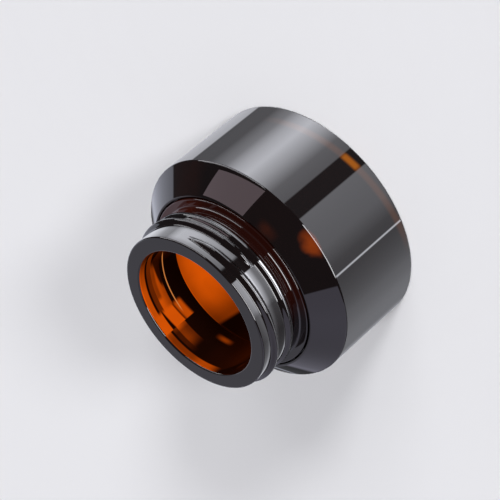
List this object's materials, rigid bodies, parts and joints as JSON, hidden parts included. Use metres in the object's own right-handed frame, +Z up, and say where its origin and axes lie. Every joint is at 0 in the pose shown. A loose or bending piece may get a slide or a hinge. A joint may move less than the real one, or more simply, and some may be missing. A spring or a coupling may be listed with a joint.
{
  "type": "cosmetic cream jar",
  "caption": "Open double-walled cream jar: dark amber shell with a conical shoulder and a lift-out cup with a threaded neck.",
  "frame": {"origin": "centre of the underside, on the plane the jar stands on", "axes": "+Z up along the jar's axis, out of the mouth; -Y towards the side where the thread's two ends overlap"},
  "size_m": [0.064, 0.064, 0.0462],
  "materials": {
    "shell_amber": "polished, near-black amber",
    "base_amber": "polished, near-black amber",
    "seal_rubber": "satin, dark brown",
    "cup_amber": "polished, deep amber"
  },
  "bodies": {
    "shell": {"outer_shell": "shell_amber", "base_disc": "base_amber", "cup_seal": "seal_rubber"},
    "cup": {"inner_cup": "cup_amber"}
  },
  "joints": [
    {"name": "cup_lift", "type": "slide", "parent": "shell", "child": "cup", "axis": [0, 0, 1], "range_m": [0, 0.035]}
  ]
}
